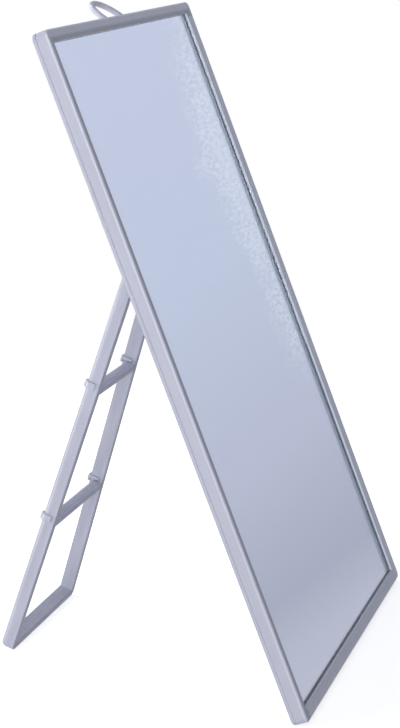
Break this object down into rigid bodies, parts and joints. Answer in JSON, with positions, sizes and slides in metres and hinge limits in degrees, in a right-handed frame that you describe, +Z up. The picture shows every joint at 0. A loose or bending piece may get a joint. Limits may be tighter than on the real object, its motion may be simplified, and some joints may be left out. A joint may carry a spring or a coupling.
{
  "type": "portable makeup mirror",
  "caption": "Tall rectangular table mirror in a slim plastic frame, with a tapered ladder leg that folds flat behind it and a small hanging loop on top.",
  "frame": {"origin": "on the table, in the middle of the footprint of the open mirror", "axes": "+X to the viewer's right along the hinge pin, +Y to the back, away from the mirror side, +Z up"},
  "size_m": [0.18, 0.1592, 0.2917],
  "materials": {
    "frame_plastic": "satin light grey-lavender plastic",
    "cover_plastic": "fine matt light grey-lavender plastic",
    "leg_plastic": "satin light grey-lavender plastic",
    "clip_plastic": "glossy light grey-lavender plastic, a little paler than the leg",
    "loop_plastic": "satin grey plastic",
    "mirror": "back-silvered glass with a slight bluish tint",
    "foam": "soft dark closed-cell foam sheet",
    "steel": "bright drawn steel"
  },
  "bodies": {
    "panel": {"front_frame": "frame_plastic", "mirror_glass": "mirror", "foam_pad": "foam", "back_cover": "cover_plastic", "hinge_bracket": "cover_plastic", "bracket_screws": "steel", "hinge_pin": "steel", "pin_cap": "clip_plastic", "loop_pin": "steel"},
    "leg": {"leg_frame": "leg_plastic", "upper_rung": "leg_plastic", "lower_rung": "leg_plastic", "upper_left_clip": "clip_plastic", "upper_right_clip": "clip_plastic", "lower_left_clip": "clip_plastic", "lower_right_clip": "clip_plastic"},
    "loop": {"hanging_loop": "loop_plastic"}
  },
  "joints": [
    {"name": "leg_fold", "type": "hinge", "parent": "panel", "child": "leg", "pos_m": [0, 0.00342, 0.20345], "axis": [-1, 0, 0], "range_deg": [0, 39.2]},
    {"name": "loop_swing", "type": "hinge", "parent": "panel", "child": "loop", "pos_m": [0, 0.02208, 0.28293], "axis": [-1, 0, 0], "range_deg": [-36, 54]}
  ]
}
